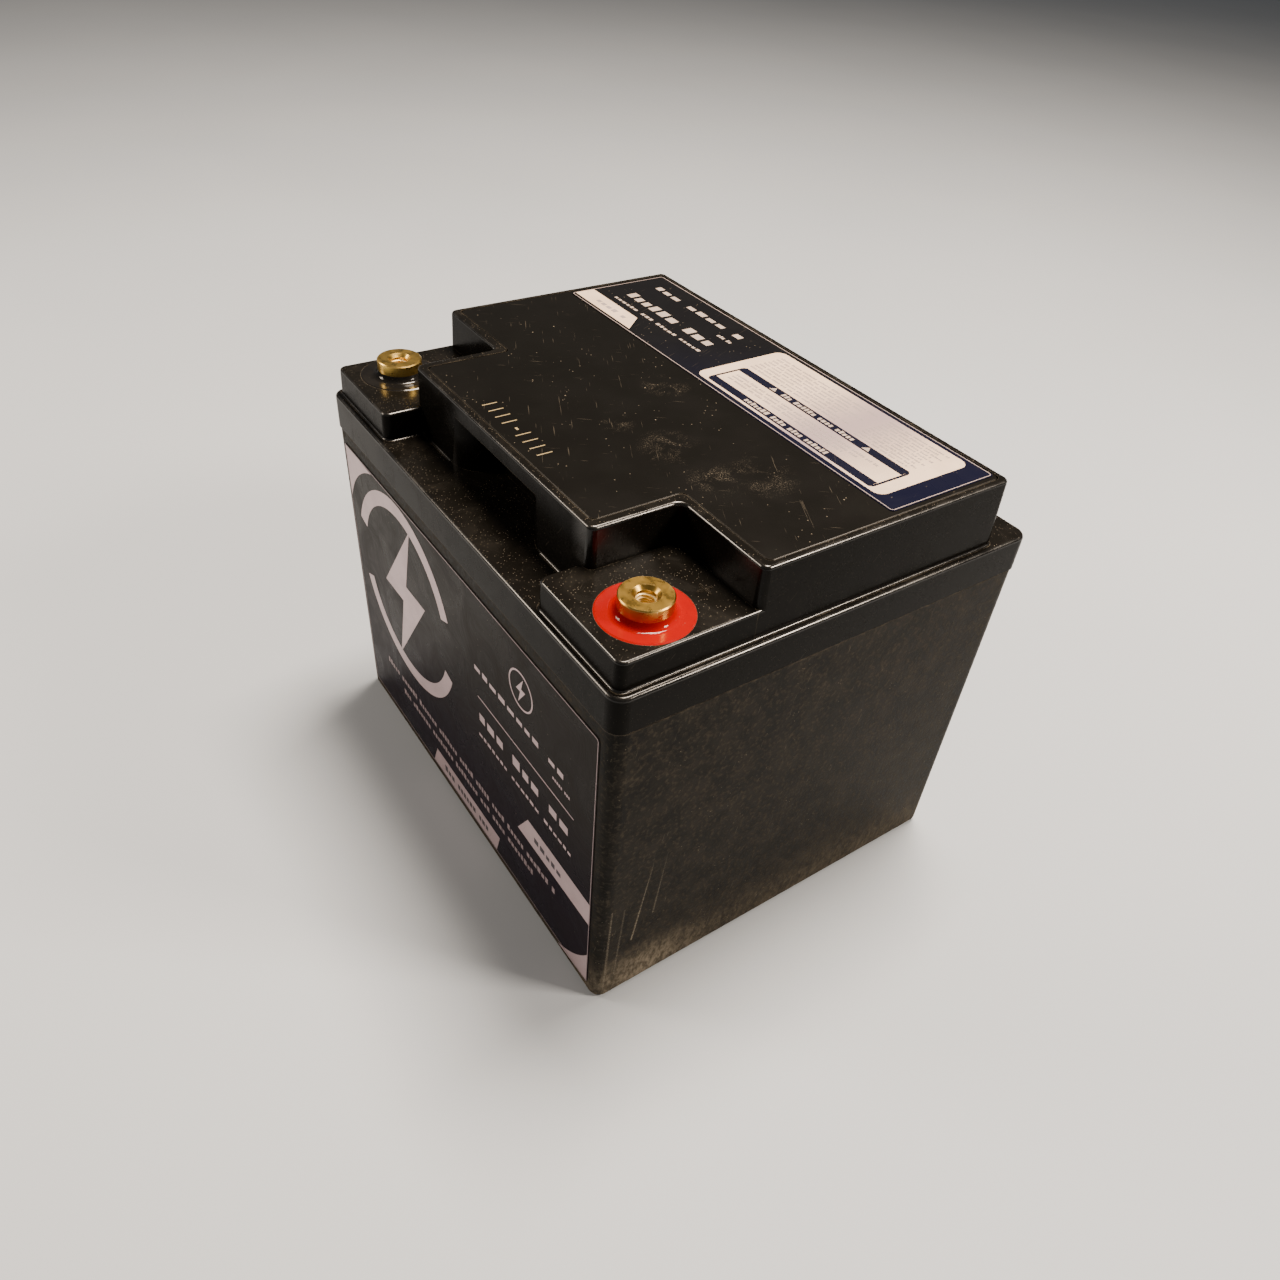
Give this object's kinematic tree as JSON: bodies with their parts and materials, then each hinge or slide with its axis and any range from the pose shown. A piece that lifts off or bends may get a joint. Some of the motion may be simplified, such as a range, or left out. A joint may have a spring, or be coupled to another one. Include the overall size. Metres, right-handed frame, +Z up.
{
  "type": "sealed lead-acid battery",
  "caption": "Sealed 12 V absorbed-glass-mat battery: black box case, raised lid with grip recesses, brass threaded terminals in red and black epoxy, printed labels, vent valves under a cover.",
  "frame": {"origin": "centre of the underside of the case", "axes": "+X along the long side towards the positive terminal, -Y towards the labelled front, +Z up"},
  "size_m": [0.197, 0.165, 0.1702],
  "materials": {
    "container_plastic": "moulded black ABS with a fine spark texture, dusty, with handling scratches",
    "lid_plastic": "moulded black ABS, smoother than the container, dust specks and worn bright edges",
    "cover_plastic": "satin black ABS with rub marks",
    "front_label_film": "satin printed film, charcoal to dark violet, with silver graphics",
    "top_label_film": "satin printed film, black to navy, with silver and white panels",
    "terminal_brass": "turned brass, satin with fine scratches",
    "red_epoxy": "glossy cast epoxy",
    "black_epoxy": "glossy cast epoxy",
    "joint_epoxy": "dull black epoxy bead",
    "o_ring_rubber": "black nitrile rubber",
    "cast_lead": "dull cast lead",
    "positive_plate_lead": "brown lead dioxide paste on a lead grid",
    "negative_plate_lead": "grey spongy lead paste on a lead grid",
    "glass_mat": "white fibreglass mat, damp",
    "valve_rubber": "black elastomer cap"
  },
  "bodies": {
    "case": {"cell_1_glass_mats": "glass_mat", "cell_1_negative_plates": "negative_plate_lead", "cell_1_positive_plates": "positive_plate_lead", "cell_2_glass_mats": "glass_mat", "cell_2_negative_plates": "negative_plate_lead", "cell_2_positive_plates": "positive_plate_lead", "cell_3_glass_mats": "glass_mat", "cell_3_negative_plates": "negative_plate_lead", "cell_3_positive_plates": "positive_plate_lead", "cell_4_glass_mats": "glass_mat", "cell_4_negative_plates": "negative_plate_lead", "cell_4_positive_plates": "positive_plate_lead", "cell_5_glass_mats": "glass_mat", "cell_5_negative_plates": "negative_plate_lead", "cell_5_positive_plates": "positive_plate_lead", "cell_6_glass_mats": "glass_mat", "cell_6_negative_plates": "negative_plate_lead", "cell_6_positive_plates": "positive_plate_lead", "cell_weld_1_2": "cast_lead", "cell_weld_2_3": "cast_lead", "cell_weld_3_4": "cast_lead", "cell_weld_4_5": "cast_lead", "cell_weld_5_6": "cast_lead", "container": "container_plastic", "front_label": "front_label_film", "lid_adhesive_bead": "joint_epoxy", "lid_block": "lid_plastic", "lid_partition_ribs": "lid_plastic", "lid_rim": "lid_plastic", "negative_epoxy_seal": "black_epoxy", "negative_o_ring": "o_ring_rubber", "negative_post": "cast_lead", "negative_terminal": "terminal_brass", "negative_terminal_pad": "lid_plastic", "positive_epoxy_seal": "red_epoxy", "positive_o_ring": "o_ring_rubber", "positive_post": "cast_lead", "positive_terminal": "terminal_brass", "positive_terminal_pad": "lid_plastic", "top_cover": "cover_plastic", "top_label": "top_label_film", "valve_chamber": "lid_plastic"},
    "valve_1": {"vent_valve_1": "valve_rubber"},
    "valve_2": {"vent_valve_2": "valve_rubber"},
    "valve_3": {"vent_valve_3": "valve_rubber"},
    "valve_4": {"vent_valve_4": "valve_rubber"},
    "valve_5": {"vent_valve_5": "valve_rubber"},
    "valve_6": {"vent_valve_6": "valve_rubber"}
  },
  "joints": [
    {"name": "valve_1_lift", "type": "slide", "parent": "case", "child": "valve_1", "axis": [0, 0, 1], "range_m": [0, 0.0005], "stiffness_N_per_m": 2000, "springref_m": -0.0005},
    {"name": "valve_2_lift", "type": "slide", "parent": "case", "child": "valve_2", "axis": [0, 0, 1], "range_m": [0, 0.0005], "stiffness_N_per_m": 2000, "springref_m": -0.0005},
    {"name": "valve_3_lift", "type": "slide", "parent": "case", "child": "valve_3", "axis": [0, 0, 1], "range_m": [0, 0.0005], "stiffness_N_per_m": 2000, "springref_m": -0.0005},
    {"name": "valve_4_lift", "type": "slide", "parent": "case", "child": "valve_4", "axis": [0, 0, 1], "range_m": [0, 0.0005], "stiffness_N_per_m": 2000, "springref_m": -0.0005},
    {"name": "valve_5_lift", "type": "slide", "parent": "case", "child": "valve_5", "axis": [0, 0, 1], "range_m": [0, 0.0005], "stiffness_N_per_m": 2000, "springref_m": -0.0005},
    {"name": "valve_6_lift", "type": "slide", "parent": "case", "child": "valve_6", "axis": [0, 0, 1], "range_m": [0, 0.0005], "stiffness_N_per_m": 2000, "springref_m": -0.0005}
  ]
}
